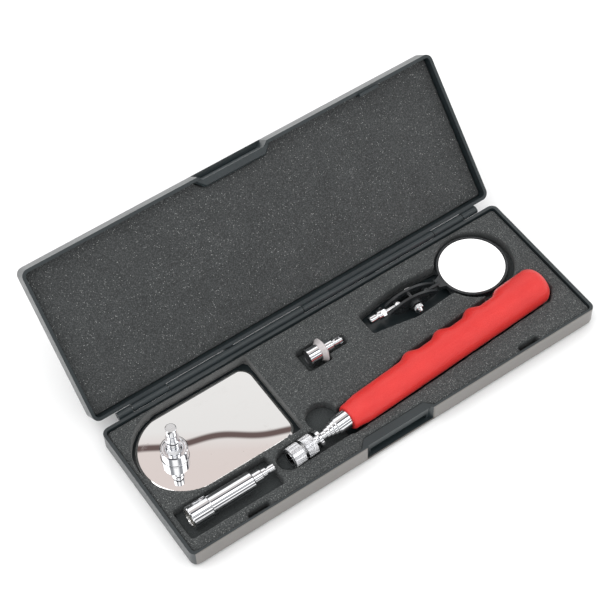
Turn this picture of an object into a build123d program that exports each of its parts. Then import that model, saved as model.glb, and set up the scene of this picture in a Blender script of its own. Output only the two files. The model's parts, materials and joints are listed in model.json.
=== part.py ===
from build123d import *
import math
import os

# Telescoping inspection mirror kit: a two-part foam-lined case that holds a telescoping
# handle with a quick-change chuck, a round mirror on a ball joint, a plate mirror, two
# magnets and a penlight. Millimetres, +Z up, +X along the case, +Y towards the hinge.
# The origin is the centre of the case's bottom face.

os.makedirs("parts", exist_ok=True)

# ---------------------------------------------------------------- case
CASE_LENGTH = 255.0
CASE_DEPTH = 88.0
RIM_Z = 12.4
CASE_WALL = 1.8
CASE_CORNER = 4.0
CASE_EDGE = 2.4
FRONT_Y = -CASE_DEPTH / 2

HINGE_Y = CASE_DEPTH / 2 + 2.5
HINGE_Z = 12.5
LID_ANGLE = 131.4
RIM_GAP = 0.2
BARREL_RADIUS = 2.1
PIN_RADIUS = 0.9
KNUCKLE_ENDS = (-116.0, -107.0, -85.0, 0.0, 87.0, 107.0, 117.0)
KNUCKLE_GAP = 0.4

NOTCH_LEFT = -22.5
NOTCH_RIGHT = 20.5
NOTCH_DEPTH = 2.6
NOTCH_BAR = 4.6
SNAP_LENGTH = 12.0
SNAP_CENTRES = (-86.0, 85.0)
STOP_RIBS = (-45.0, 45.0)

# ---------------------------------------------------------------- foam
FOAM_GAP = 0.15
BED_BOTTOM = CASE_WALL
BED_TOP = 4.8
TRAY_TOP = 11.0
LID_FOAM_FACE = 5.1
FINGER_HOLE = (-29.5, -13.5)
FINGER_HOLE_RADIUS = 8.7

# ---------------------------------------------------------------- handle and mast
HANDLE_FRONT = (-20.1, -22.9, 12.0)
HANDLE_ANGLE = 4.28
GRIP_LENGTH = 135.6
GRIP_FRONT_RADIUS = 7.1
GRIP_SHOULDER = 12.0
GRIP_SHOULDER_RADIUS = 8.3
GRIP_REAR_RADIUS = 10.5
GRIP_FLATNESS = 0.94
GROOVE_PITCH = 21.5
GRIP_SECTIONS = 60
FIRST_CREST = 48.4
SWELL_RUN = 6.8
SWELL_HIGH = 10.7
SWELL_LOW = 8.3
TAIL_ROUNDING = 6.5
TUBE_RADIUS = 5.2
TUBE_WALL = 0.35
TUBE_STEP = 0.65
TUBE_FRONT = -8.5
LIP_STEP = 2.2
SECTION_COUNT = 4
SECTION_REAR = 100.0

CHUCK_FACE = -37.5
CHUCK_REAR = -22.6
CHUCK_RADIUS = 5.1
SPINDLE_RADIUS = 3.8
SOCKET_RADIUS = 3.05
SOCKET_MOUTH = 2.0
SOCKET_RELIEF_RADIUS = 3.4
SOCKET_DEPTH = 9.2
BALL_RADIUS = 0.6

# the plug end that every accessory shares
SHANK_RADIUS = 2.85
SHANK_LENGTH = 2.4
PLUG_GROOVE_RADIUS = 1.9
PLUG_GROOVE_LENGTH = 1.4
TIP_RADIUS = 2.4
TIP_LENGTH = 3.8

# ---------------------------------------------------------------- plate mirror
PLATE_LEFT = -121.5
PLATE_RIGHT = -42.2
PLATE_FRONT = -11.8
PLATE_BACK = 39.6
PLATE_CORNER = 8.5
PLATE_BOTTOM = 2.1
BACKING_THICKNESS = 0.8
GLASS_TOP = 4.9

# ---------------------------------------------------------------- magnets
LARGE_MAGNET = (-102.0, 13.8, 5.0)
LARGE_CUP_RADIUS = 7.3
LARGE_CUP_HEIGHT = 8.0
SMALL_MAGNET = (-15.5, 19.5, 11.75)
SMALL_CUP_RADIUS = 4.6
SMALL_FLANGE_RADIUS = 6.75
SMALL_FLANGE_RUN = 2.3
SMALL_CUP_LENGTH = 9.3

# ---------------------------------------------------------------- penlight
PENLIGHT = (-117.0, -24.3, 11.2)
HEAD_RADIUS = 6.1
HEAD_LENGTH = 11.8
PEN_RADIUS = 5.2
PEN_LENGTH = 37.5
CELL_COUNT = 6
CELL_RADIUS = 3.95
CELL_THICKNESS = 3.6

# ---------------------------------------------------------------- round mirror
BALL_CENTRE_Z = 9.0
CONNECTOR_BALL = (44.5, 21.3)
LINK_ANGLE = -5.5
LINK_LENGTH = 17.75
JOINT_BALL_RADIUS = 2.3
NECK_RADIUS = 1.2
PLATE_GAP = 2.0
CLAMP_THICKNESS = 1.4
CLAMP_HALF_LENGTH = 15.2
CLAMP_HALF_HEIGHT = 5.5
SCREW_RADIUS = 1.25
ROUND_MIRROR = (92.9, 18.7)
BEZEL_RADIUS = 19.8
BEZEL_BOTTOM = 5.3
BEZEL_TOP = 9.8
ROUND_GLASS_RADIUS = 18.6
ROUND_GLASS_THICKNESS = 1.9


# ---------------------------------------------------------------- derived sizes and planes
INNER_LENGTH = CASE_LENGTH - 2 * CASE_WALL
INNER_DEPTH = CASE_DEPTH - 2 * CASE_WALL
NOTCH_FACE_Y = FRONT_Y + NOTCH_DEPTH
NOTCH_INNER_Y = NOTCH_FACE_Y + NOTCH_BAR
LID_FOAM_HEIGHT = RIM_Z + RIM_GAP / 2 - LID_FOAM_FACE
TUBE_REAR = 105.0
TUBE_END = -26.0
SPRING_SEAT = -28.5
SLEEVE_FRONT = -36.7
SLEEVE_REAR = -30.5


def along(angle):
    """The level direction that stands at this many degrees from +X."""
    return Vector(math.cos(math.radians(angle)), math.sin(math.radians(angle)), 0)


def turning_plane(origin, direction):
    """A plane for turned pieces: outlines on it are (distance along the axis, radius)."""
    side = Vector(*direction).cross(Vector(0, 0, 1))
    if side.length < 0.001:
        side = Vector(0, -1, 0)
    return Plane(origin=origin, x_dir=direction, z_dir=side)


LID_TURN = math.radians(LID_ANGLE)
LID_INWARD = Vector(0, -math.sin(LID_TURN), -math.cos(LID_TURN))
LID_TO_HINGE = Vector(0, math.cos(LID_TURN), -math.sin(LID_TURN))
LID_ORIGIN = (
    Vector(0, HINGE_Y, HINGE_Z)
    - LID_TO_HINGE * HINGE_Y
    - LID_INWARD * (RIM_Z + RIM_GAP / 2)
)
LID_PLANE = Plane(origin=LID_ORIGIN, x_dir=(-1, 0, 0), z_dir=LID_INWARD)
HANDLE_PLANE = turning_plane(HANDLE_FRONT, tuple(along(HANDLE_ANGLE)))
HANDLE_AXIS = Axis(HANDLE_PLANE.origin, HANDLE_PLANE.x_dir)
FINGER_SIDE = along(HANDLE_ANGLE + 90)
LINK = along(LINK_ANGLE) * LINK_LENGTH
ARM_BALL = (CONNECTOR_BALL[0] + LINK.X, CONNECTOR_BALL[1] + LINK.Y)
CLAMP_PLANE = Plane(
    origin=Vector(*CONNECTOR_BALL, BALL_CENTRE_Z) + LINK * 0.5,
    x_dir=along(LINK_ANGLE),
    z_dir=along(LINK_ANGLE - 90),
)


def turned(plane, outline):
    """A piece turned on a lathe about the plane's x axis."""
    with BuildPart() as piece:
        with BuildSketch(plane):
            with BuildLine():
                Polyline(*outline, close=True)
            make_face()
        revolve(axis=Axis(plane.origin, plane.x_dir))
    return piece


def chamfered_ring(start, end, inner, outer, bevel):
    """The outline of a ring whose two outer edges are bevelled."""
    return [
        (start, inner),
        (end, inner),
        (end, outer - bevel),
        (end - bevel, outer),
        (start + bevel, outer),
        (start, outer - bevel),
    ]


def plug_outline(shoulder, tip_radius=TIP_RADIUS, tip_length=TIP_LENGTH):
    """The upper outline of a plug end, from its shoulder to the centre of its tip."""
    groove = shoulder + SHANK_LENGTH
    tip = groove + PLUG_GROOVE_LENGTH
    end = tip + tip_length
    bevel = 0.4
    return [
        (shoulder, SHANK_RADIUS),
        (groove, SHANK_RADIUS),
        (groove, PLUG_GROOVE_RADIUS),
        (tip, PLUG_GROOVE_RADIUS),
        (tip, tip_radius),
        (end - bevel, tip_radius),
        (end, tip_radius - bevel),
        (end, 0),
    ]


def coil_spring(plane, start, length, radius, wire, turns):
    """A compression spring of round wire about the plane's x axis."""
    centre = plane.origin + plane.x_dir * start
    with BuildPart() as piece:
        with BuildLine() as path:
            Helix(
                pitch=length / turns,
                height=length,
                radius=radius,
                center=centre,
                direction=plane.x_dir,
            )
        with BuildSketch(Plane(origin=path.line @ 0, z_dir=path.line % 0)):
            Circle(wire)
        sweep(path=path.line)
    return piece


def finish(piece, name):
    """Label a finished piece and write its STEP file."""
    piece.part.label = name
    export_step(piece.part, f"parts/{name}.step")


# ================================================================ case shells
def front_notch(outer_y, inner_y, grow, flip):
    """The thumb notch seen from above: a trapezium with slanting ends."""
    slant = inner_y - outer_y
    return [
        (flip * (NOTCH_LEFT - grow), outer_y),
        (flip * (NOTCH_LEFT - grow + slant), inner_y),
        (flip * (NOTCH_RIGHT + grow - slant), inner_y),
        (flip * (NOTCH_RIGHT + grow), outer_y),
    ]


def case_shell(plane, flip, first_knuckle, bore):
    """One half of the case, open at the rim, with its share of the hinge barrel.

    The plane lies on the outer face below the case's centre, its normal points at the rim
    and its y axis at the hinge. Flip is -1 where its x axis runs against the case's.
    """
    axis_height = RIM_Z + RIM_GAP / 2
    notch_floor = CASE_WALL + 0.4
    ends = list(zip(KNUCKLE_ENDS[:-1], KNUCKLE_ENDS[1:]))
    with BuildPart() as shell:
        with BuildSketch(plane):
            RectangleRounded(CASE_LENGTH, CASE_DEPTH, CASE_CORNER)
        extrude(amount=RIM_Z)
        outer_face = shell.faces().sort_by(Axis(plane.origin, plane.z_dir))[0]
        fillet(outer_face.edges(), CASE_EDGE)
        with BuildSketch(plane.offset(CASE_WALL)):
            RectangleRounded(INNER_LENGTH, INNER_DEPTH, CASE_CORNER - CASE_WALL)
        extrude(amount=RIM_Z, mode=Mode.SUBTRACT)
        # the bar behind the thumb notch, with a rounded-off top
        with BuildSketch(plane.offset(CASE_WALL / 2)):
            with BuildLine():
                Polyline(*front_notch(FRONT_Y + 1, NOTCH_INNER_Y, 3.4, flip), close=True)
            make_face()
        extrude(amount=RIM_Z - CASE_WALL / 2 - 2.2)
        with BuildSketch(plane.offset(RIM_Z - 2.2)):
            with BuildLine():
                Polyline(*front_notch(FRONT_Y + 1, NOTCH_INNER_Y, 3.4, flip), close=True)
            make_face()
        extrude(amount=1.5, taper=35)
        # the notch, and the finger groove under the bar
        with BuildSketch(plane.offset(notch_floor)):
            with BuildLine():
                Polyline(*front_notch(FRONT_Y - 1, NOTCH_FACE_Y, 1, flip), close=True)
            make_face()
        extrude(amount=RIM_Z, mode=Mode.SUBTRACT)
        with BuildSketch(plane.offset(notch_floor)):
            with Locations((flip * (NOTCH_LEFT + NOTCH_RIGHT) / 2, NOTCH_FACE_Y + 1.0)):
                Rectangle(NOTCH_RIGHT - NOTCH_LEFT - 8, 2.6)
        extrude(amount=3.4, mode=Mode.SUBTRACT)
        # hinge knuckles on their webs
        for start, end in ends[first_knuckle::2]:
            low = min(flip * start, flip * end) + KNUCKLE_GAP / 2
            side = Plane(
                origin=plane.origin + plane.x_dir * low, x_dir=plane.y_dir, z_dir=plane.x_dir
            )
            with BuildSketch(side):
                with Locations((HINGE_Y, axis_height)):
                    Circle(BARREL_RADIUS)
                with Locations((HINGE_Y - 1.6, axis_height - 1.2)):
                    Rectangle(3.2, 1.8)
                with Locations((HINGE_Y, axis_height)):
                    Circle(bore, mode=Mode.SUBTRACT)
            extrude(amount=end - start - KNUCKLE_GAP)
    return shell


def make_case_base():
    """The lower tray, with two ribs behind it that stop the lid."""
    shell = case_shell(Plane.XY, 1, 0, PIN_RADIUS + 0.02)
    with BuildPart() as base:
        add(shell.part)
        wall = CASE_DEPTH / 2 - 0.5
        for centre in STOP_RIBS:
            with BuildSketch(Plane.YZ.offset(centre - 2.5)):
                with BuildLine():
                    Polyline(
                        (wall, 4.5),
                        (wall, 9.5),
                        (48.2, 9.5),
                        (50.2, 11.8),
                        (53.0, 9.3),
                        (50.5, 6.5),
                        close=True,
                    )
                make_face()
            extrude(amount=5.0)
    finish(base, "case_base")


def make_case_lid():
    """The upper tray, in its open place, with a snap tab inside its front wall."""
    shell = case_shell(LID_PLANE, -1, 1, PIN_RADIUS + 0.06)
    with BuildPart() as lid:
        add(shell.part)
        with BuildSketch(LID_PLANE.offset(RIM_Z - 4.0)):
            with Locations((-SNAP_CENTRES[1], FRONT_Y + CASE_WALL + 0.6)):
                Rectangle(SNAP_LENGTH, 1.6)
        extrude(amount=5.6)
    finish(lid, "case_lid")


def make_hinge_pin():
    """The steel wire that the knuckles turn on."""
    pin = turned(
        turning_plane((KNUCKLE_ENDS[0], HINGE_Y, HINGE_Z), (1, 0, 0)),
        [(0.5, 0), (0.5, PIN_RADIUS), (232.5, PIN_RADIUS), (232.5, 0)],
    )
    finish(pin, "hinge_pin")


# ================================================================ foam
def cut_plate_pocket(margin):
    """The pocket of the plate mirror: round at its left end."""
    left = PLATE_LEFT - margin
    right = PLATE_RIGHT + margin
    front = PLATE_FRONT - margin
    back = PLATE_BACK + margin
    radius = (back - front) / 2
    with Locations((left + radius, (front + back) / 2)):
        Circle(radius, mode=Mode.SUBTRACT)
    with Locations(((left + radius + right) / 2, (front + back) / 2)):
        Rectangle(right - left - radius, back - front, mode=Mode.SUBTRACT)


def cut_grip_pocket():
    """The pocket of the grip, which widens from the tube to the tail."""
    Polygon(
        (-22.4, -31.6),
        (20.0, -29.8),
        (112.0, -25.0),
        (118.0, -19.0),
        (118.0, -7.0),
        (112.0, -1.4),
        (94.0, -2.5),
        (27.0, -7.6),
        (14.0, -10.8),
        (-10.0, -12.6),
        (-22.4, -14.6),
        align=None,
        mode=Mode.SUBTRACT,
    )


def cut_bracket_pocket():
    """The pocket of the round mirror's clamp and plug."""
    Polygon(
        (22.5, 13.0),
        (50.0, 8.0),
        (74.0, 9.6),
        (77.0, 29.0),
        (53.0, 31.0),
        (39.0, 30.0),
        (22.5, 27.0),
        align=None,
        mode=Mode.SUBTRACT,
    )


def foam_outline(flip):
    """The foam's outer edge in a tray, cut back around the bar of the thumb notch."""
    RectangleRounded(
        INNER_LENGTH - 2 * FOAM_GAP, INNER_DEPTH - 2 * FOAM_GAP, CASE_CORNER - CASE_WALL
    )
    cut = front_notch(FRONT_Y, NOTCH_INNER_Y + 0.3, 4.6, flip)
    Polygon(*cut, align=None, mode=Mode.SUBTRACT)


def make_foam_tray():
    """The upper foam layer, cut right through for every tool."""
    with BuildPart() as foam:
        with BuildSketch(Plane.XY.offset(BED_TOP)):
            foam_outline(1)
            cut_plate_pocket(1.6)
            cut_grip_pocket()
            cut_bracket_pocket()
            # the chuck and mast, and the empty round finger hole beside them
            with Locations((-57.4, -24.4)):
                Circle(6.6, mode=Mode.SUBTRACT)
            with Locations((-38.5, -24.2)):
                Rectangle(38.0, 13.2, mode=Mode.SUBTRACT)
            with Locations(FINGER_HOLE):
                Circle(FINGER_HOLE_RADIUS, mode=Mode.SUBTRACT)
            # penlight
            with Locations((-94.2, -25.2)):
                Rectangle(55.6, 18.6, mode=Mode.SUBTRACT)
            # small magnet
            with Locations((-11.5, 19.7)):
                Rectangle(15.0, 14.6, mode=Mode.SUBTRACT)
            with Locations((2.0, 19.4)):
                Rectangle(12.6, 6.6, mode=Mode.SUBTRACT)
            # round mirror
            with Locations((94.0, 18.0)):
                Circle(22.0, mode=Mode.SUBTRACT)
            # room for the lid's snap tabs
            for centre in SNAP_CENTRES:
                with Locations((centre, FRONT_Y + CASE_WALL + 1.8)):
                    Rectangle(SNAP_LENGTH + 1, 4.2, mode=Mode.SUBTRACT)
        extrude(amount=TRAY_TOP - BED_TOP)
    finish(foam, "foam_tray")


def make_foam_bed():
    """The lower foam layer, open only under the plate mirror, the grip and the clamp."""
    with BuildPart() as foam:
        with BuildSketch(Plane.XY.offset(BED_BOTTOM)):
            foam_outline(1)
            cut_plate_pocket(1.6)
            cut_grip_pocket()
            cut_bracket_pocket()
        extrude(amount=BED_TOP - BED_BOTTOM)
    finish(foam, "foam_bed")


def make_lid_foam():
    """The plain foam sheet that lines the lid."""
    with BuildPart() as foam:
        with BuildSketch(LID_PLANE.offset(CASE_WALL)):
            foam_outline(-1)
        extrude(amount=LID_FOAM_HEIGHT - CASE_WALL)
    finish(foam, "lid_foam")


# ================================================================ grip and mast
def eased(station, marks):
    """The height at a station along marks that are joined by level-ended curves."""
    for (start, first), (end, second) in zip(marks, marks[1:]):
        if station <= end:
            share = (station - start) / (end - start)
            return first + (second - first) * share * share * (3 - 2 * share)
    return marks[-1][1]


def finger_side(station):
    """The grip's half-width on the finger side: a shoulder, three swells and the plain rear."""
    marks = [(0.0, GRIP_FRONT_RADIUS), (GRIP_SHOULDER, GRIP_SHOULDER_RADIUS)]
    for number in range(3):
        crest = FIRST_CREST + GROOVE_PITCH * number
        marks += [(crest - SWELL_RUN, SWELL_LOW), (crest, SWELL_HIGH), (crest + SWELL_RUN, SWELL_LOW)]
    last_crest = FIRST_CREST + GROOVE_PITCH * 3
    marks += [(last_crest - SWELL_RUN, SWELL_LOW), (last_crest, GRIP_REAR_RADIUS)]
    return eased(station, marks)


def palm_side(station):
    """The grip's half-width on the palm side: a shoulder, then a straight taper to the tail."""
    if station <= GRIP_SHOULDER:
        return eased(station, [(0.0, GRIP_FRONT_RADIUS), (GRIP_SHOULDER, GRIP_SHOULDER_RADIUS)])
    share = (station - GRIP_SHOULDER) / (GRIP_LENGTH - TAIL_ROUNDING - GRIP_SHOULDER)
    return GRIP_SHOULDER_RADIUS + (GRIP_REAR_RADIUS - GRIP_SHOULDER_RADIUS) * share


def make_grip():
    """The moulded grip: oval sections whose finger side swells and dips, and a round tail."""
    tail = GRIP_LENGTH - TAIL_ROUNDING
    with BuildPart() as grip:
        for step in range(GRIP_SECTIONS + 1):
            station = tail * step / GRIP_SECTIONS
            finger = finger_side(station)
            palm = palm_side(station)
            half_width = (finger + palm) / 2
            section = Plane(
                origin=HANDLE_PLANE.origin + HANDLE_PLANE.x_dir * station,
                x_dir=FINGER_SIDE,
                z_dir=HANDLE_PLANE.x_dir,
            )
            with BuildSketch(section):
                with Locations(((finger - palm) / 2, 0)):
                    Ellipse(half_width, half_width * GRIP_FLATNESS)
        loft()
        tail_face = grip.faces().sort_by(HANDLE_AXIS)[-1]
        extrude(tail_face, amount=TAIL_ROUNDING)
        fillet(grip.faces().sort_by(HANDLE_AXIS)[-1].edges(), radius=TAIL_ROUNDING - 0.05)
        with BuildSketch(Plane(origin=HANDLE_PLANE.origin, z_dir=HANDLE_PLANE.x_dir)):
            Circle(TUBE_RADIUS + 0.02)
        extrude(amount=TUBE_REAR + 0.2, mode=Mode.SUBTRACT)
    finish(grip, "grip")


def tube_outline(front, rear, outer, lip):
    """A tube whose front end is rolled inwards to a lip of this radius."""
    inner = outer - TUBE_WALL
    return [
        (front, lip),
        (front + 1.0, lip),
        (front + 1.0, inner),
        (rear, inner),
        (rear, outer),
        (front + 0.25, outer),
        (front, outer - 0.25),
    ]


def make_mast():
    """The fixed tube, the four sliding sections and the bush at the rear of each."""
    next_radius = TUBE_RADIUS - TUBE_STEP
    outer_tube = turned(
        HANDLE_PLANE, tube_outline(TUBE_FRONT, TUBE_REAR, TUBE_RADIUS, next_radius + 0.05)
    )
    finish(outer_tube, "mast_tube")
    plug = turned(
        HANDLE_PLANE,
        [(TUBE_REAR - 4, 0), (TUBE_REAR - 4, 4.8), (TUBE_REAR - 0.1, 4.8), (TUBE_REAR - 0.1, 0)],
    )
    finish(plug, "tube_plug")
    for number in range(1, SECTION_COUNT + 1):
        outer = TUBE_RADIUS - TUBE_STEP * number
        front = TUBE_FRONT - LIP_STEP * number
        lip = outer - TUBE_STEP + 0.05
        if number == SECTION_COUNT:
            front = TUBE_END
            lip = outer - TUBE_WALL - 0.3
        section = turned(HANDLE_PLANE, tube_outline(front, SECTION_REAR, outer, lip))
        finish(section, f"mast_section_{number}")
        bush = turned(
            HANDLE_PLANE,
            chamfered_ring(
                SECTION_REAR - 4, SECTION_REAR, outer, outer + TUBE_STEP - TUBE_WALL - 0.05, 0.1
            ),
        )
        finish(bush, f"mast_bush_{number}")


# ================================================================ chuck
def make_chuck():
    """The quick-change chuck: body, sliding sleeve, spring, clip, lock balls and collar."""
    last_radius = TUBE_RADIUS - TUBE_STEP * SECTION_COUNT
    ball_station = CHUCK_FACE + SHANK_LENGTH + PLUG_GROOVE_LENGTH / 2
    socket_end = CHUCK_FACE + SOCKET_DEPTH
    with BuildPart() as body:
        with BuildSketch(HANDLE_PLANE):
            with BuildLine():
                Polyline(
                    (CHUCK_FACE, SOCKET_RADIUS),
                    (CHUCK_FACE + SOCKET_MOUTH, SOCKET_RADIUS),
                    (CHUCK_FACE + SOCKET_MOUTH, SOCKET_RELIEF_RADIUS),
                    (socket_end, SOCKET_RELIEF_RADIUS),
                    (socket_end, 0),
                    (SPRING_SEAT + 2.0, 0),
                    (SPRING_SEAT + 2.0, last_radius + 0.02),
                    (CHUCK_REAR, last_radius + 0.02),
                    (CHUCK_REAR, CHUCK_RADIUS - 0.5),
                    (CHUCK_REAR - 0.5, CHUCK_RADIUS),
                    (SPRING_SEAT + 0.5, CHUCK_RADIUS),
                    (SPRING_SEAT, CHUCK_RADIUS - 0.5),
                    (SPRING_SEAT, SPINDLE_RADIUS),
                    (CHUCK_FACE, SPINDLE_RADIUS),
                    close=True,
                )
            make_face()
        revolve(axis=HANDLE_AXIS)
        # cross holes for the lock balls
        with BuildSketch(Plane(origin=HANDLE_PLANE.origin + HANDLE_PLANE.x_dir * ball_station)):
            Circle(BALL_RADIUS + 0.06)
        extrude(amount=SPINDLE_RADIUS + 1, both=True, mode=Mode.SUBTRACT)
    finish(body, "chuck_body")
    with BuildPart() as balls:
        for side in (-1, 1):
            centre = HANDLE_PLANE.origin + HANDLE_PLANE.x_dir * ball_station
            lift = SPINDLE_RADIUS + 0.02 - BALL_RADIUS
            with Locations(centre + Vector(0, 0, side * lift)):
                Sphere(BALL_RADIUS)
    finish(balls, "lock_balls")
    with BuildPart() as sleeve:
        with BuildSketch(HANDLE_PLANE):
            with BuildLine():
                Polyline(
                    (SLEEVE_FRONT, SPINDLE_RADIUS + 0.05),
                    (SLEEVE_REAR - 2.4, SPINDLE_RADIUS + 0.05),
                    (SLEEVE_REAR - 2.4, CHUCK_RADIUS - 0.4),
                    (SLEEVE_REAR, CHUCK_RADIUS - 0.4),
                    (SLEEVE_REAR, CHUCK_RADIUS - 0.2),
                    (SLEEVE_REAR - 0.3, CHUCK_RADIUS + 0.1),
                    (SLEEVE_FRONT + 0.5, CHUCK_RADIUS + 0.1),
                    (SLEEVE_FRONT, CHUCK_RADIUS - 0.4),
                    close=True,
                )
            make_face()
        revolve(axis=HANDLE_AXIS)
    finish(sleeve, "chuck_sleeve")
    clip = turned(
        HANDLE_PLANE, chamfered_ring(CHUCK_FACE + 0.1, SLEEVE_FRONT - 0.15, SPINDLE_RADIUS, 4.5, 0.15)
    )
    finish(clip, "sleeve_clip")
    spring = coil_spring(
        HANDLE_PLANE, SLEEVE_REAR - 2.0, SPRING_SEAT - SLEEVE_REAR + 1.6, SPINDLE_RADIUS + 0.42, 0.25, 3.5
    )
    finish(spring, "sleeve_spring")
    collar = turned(
        HANDLE_PLANE, chamfered_ring(-20.4, -18.0, last_radius + 0.02, CHUCK_RADIUS, 0.5)
    )
    finish(collar, "mast_collar")


# ================================================================ plate mirror
def plate_piece(bottom, height, inset, bevel):
    """A flat piece in the plate mirror's outline, drawn in by the inset."""
    radius = (PLATE_BACK - PLATE_FRONT) / 2 - inset
    middle = (PLATE_BACK + PLATE_FRONT) / 2
    centre_x = PLATE_LEFT + inset + radius
    right = PLATE_RIGHT - inset
    with BuildPart() as piece:
        with BuildSketch(Plane.XY.offset(bottom)) as outline:
            with Locations((centre_x, middle)):
                Circle(radius)
            with Locations(((centre_x + right) / 2, middle)):
                Rectangle(right - centre_x, 2 * radius)
            fillet(outline.vertices().group_by(Axis.X)[-1], PLATE_CORNER - inset)
        extrude(amount=height)
        if bevel:
            chamfer(piece.faces().sort_by(Axis.Z)[-1].edges(), length=0.5, length2=bevel)
    return piece


def make_plate_mirror():
    """The bevelled glass and the thin steel sheet behind it."""
    finish(plate_piece(PLATE_BOTTOM, BACKING_THICKNESS, 0.4, 0), "plate_backing")
    glass_bottom = PLATE_BOTTOM + BACKING_THICKNESS
    finish(plate_piece(glass_bottom, GLASS_TOP - glass_bottom, 0, 1.2), "plate_glass")


# ================================================================ magnets
def make_large_magnet():
    """The large magnet: steel cup, magnet core, and hub with a plug end on top."""
    plane = turning_plane(LARGE_MAGNET, (0, 0, 1))
    wall = 1.0
    roof = LARGE_CUP_HEIGHT - 1.5
    cup = turned(
        plane,
        [
            (0.0, LARGE_CUP_RADIUS - wall),
            (roof, LARGE_CUP_RADIUS - wall),
            (roof, 0),
            (LARGE_CUP_HEIGHT - 0.8, 0),
            (LARGE_CUP_HEIGHT - 0.8, LARGE_CUP_RADIUS - 1.6),
            (LARGE_CUP_HEIGHT, LARGE_CUP_RADIUS - 1.2),
            (LARGE_CUP_HEIGHT, LARGE_CUP_RADIUS - 0.5),
            (LARGE_CUP_HEIGHT - 0.5, LARGE_CUP_RADIUS),
            (1.2, LARGE_CUP_RADIUS),
            (0.9, LARGE_CUP_RADIUS + 0.25),
            (0.0, LARGE_CUP_RADIUS + 0.25),
        ],
    )
    finish(cup, "large_magnet_cup")
    core_radius = LARGE_CUP_RADIUS - wall - 0.1
    core = turned(
        plane, [(0.2, 0), (0.2, core_radius), (roof - 0.05, core_radius), (roof - 0.05, 0)]
    )
    finish(core, "large_magnet_core")
    hub_foot = LARGE_CUP_HEIGHT - 0.8
    hub = turned(
        plane,
        [
            (hub_foot, 0),
            (hub_foot, 5.0),
            (hub_foot + 0.8, 4.6),
            (hub_foot + 2.2, 3.6),
            (15.0, 3.6),
            (15.5, 3.2),
            (16.3, 3.2),
            (16.8, 3.6),
            (18.2, 3.6),
        ]
        + plug_outline(18.2, 2.95, 4.8),
    )
    finish(hub, "large_magnet_hub")


def make_small_magnet():
    """The small magnet: cup, core, flared flange and slotted plug end, lying along X."""
    plane = turning_plane(SMALL_MAGNET, (1, 0, 0))
    end = SMALL_CUP_LENGTH
    wall = 0.65
    core_radius = SMALL_CUP_RADIUS - wall - 0.05
    outside = SMALL_CUP_RADIUS + 0.1
    cup = turned(
        plane,
        [
            (0.0, SMALL_CUP_RADIUS - wall),
            (7.0, SMALL_CUP_RADIUS - wall),
            (7.0, 0),
            (end, 0),
            (end, SMALL_CUP_RADIUS),
            (1.0, SMALL_CUP_RADIUS),
            (0.8, SMALL_CUP_RADIUS + 0.3),
            (0.0, SMALL_CUP_RADIUS + 0.3),
        ],
    )
    finish(cup, "small_magnet_cup")
    core = turned(plane, [(0.15, 0), (0.15, core_radius), (6.95, core_radius), (6.95, 0)])
    finish(core, "small_magnet_core")
    flange = turned(
        plane,
        [
            (end + 0.05, SHANK_RADIUS + 0.02),
            (end + 1.5, SHANK_RADIUS + 0.02),
            (end + 1.5, 4.4),
            (end + 0.2, SMALL_FLANGE_RADIUS),
            (end - 0.3, SMALL_FLANGE_RADIUS),
            (end - SMALL_FLANGE_RUN, outside + 0.4),
            (end - SMALL_FLANGE_RUN, outside),
            (end + 0.05, outside),
        ],
    )
    finish(flange, "small_magnet_flange")
    shoulder = end + 3.6
    with BuildPart() as plug:
        with BuildSketch(plane):
            with BuildLine():
                Polyline(
                    (end + 0.05, 0),
                    (end + 0.05, SHANK_RADIUS),
                    *plug_outline(shoulder, TIP_RADIUS, 4.8),
                    close=True,
                )
            make_face()
        revolve(axis=Axis(plane.origin, plane.x_dir))
        # two crossed slots split the tip into springy jaws
        tip = SMALL_MAGNET[0] + shoulder + SHANK_LENGTH + PLUG_GROOVE_LENGTH + 0.8
        with Locations((tip + 3, SMALL_MAGNET[1], SMALL_MAGNET[2])):
            Box(6, 8, 0.7, mode=Mode.SUBTRACT)
            Box(6, 0.7, 8, mode=Mode.SUBTRACT)
    finish(plug, "small_magnet_plug")


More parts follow.
